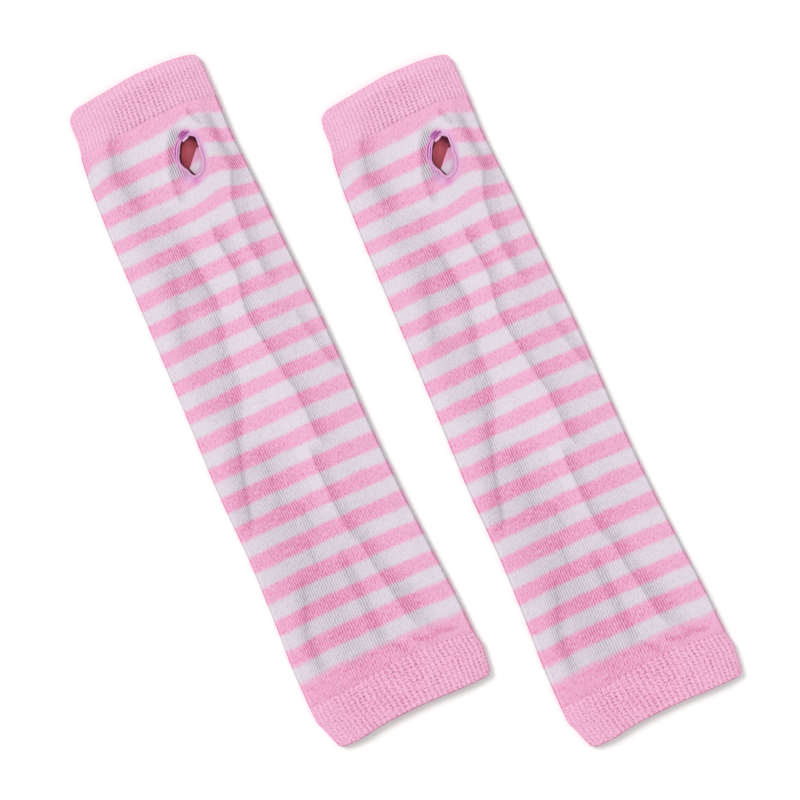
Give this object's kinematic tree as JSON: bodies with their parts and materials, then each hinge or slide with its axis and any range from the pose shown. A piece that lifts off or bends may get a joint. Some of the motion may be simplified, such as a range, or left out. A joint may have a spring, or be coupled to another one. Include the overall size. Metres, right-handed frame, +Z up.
{
  "type": "pair of knitted fingerless gloves",
  "caption": "Long striped knitted fingerless gloves with ribbed cuffs and stitched thumb holes, laid flat side by side as a pair of arm warmers.",
  "frame": {"origin": "on the surface that the pair lies on, under the middle of the pair's box", "axes": "+Z up, out of the gloves' upper layers; +Y along both gloves towards their hand cuffs; +X across them, from the left glove to the right one"},
  "size_m": [0.1902, 0.369, 0.0061],
  "materials": {
    "pink_rib": "matt 1 knit 1 purl rib, soft pink yarn",
    "striped_jersey": "matt fine jersey knit, white stripes on pink",
    "lilac_thread": "overcast stitches in lilac thread with a slight sheen"
  },
  "bodies": {
    "root": {"left_hand_cuff": "pink_rib", "left_striped_tube": "striped_jersey", "left_arm_cuff": "pink_rib", "left_thumb_edging": "lilac_thread", "right_hand_cuff": "pink_rib", "right_striped_tube": "striped_jersey", "right_arm_cuff": "pink_rib", "right_thumb_edging": "lilac_thread"}
  },
  "joints": []
}
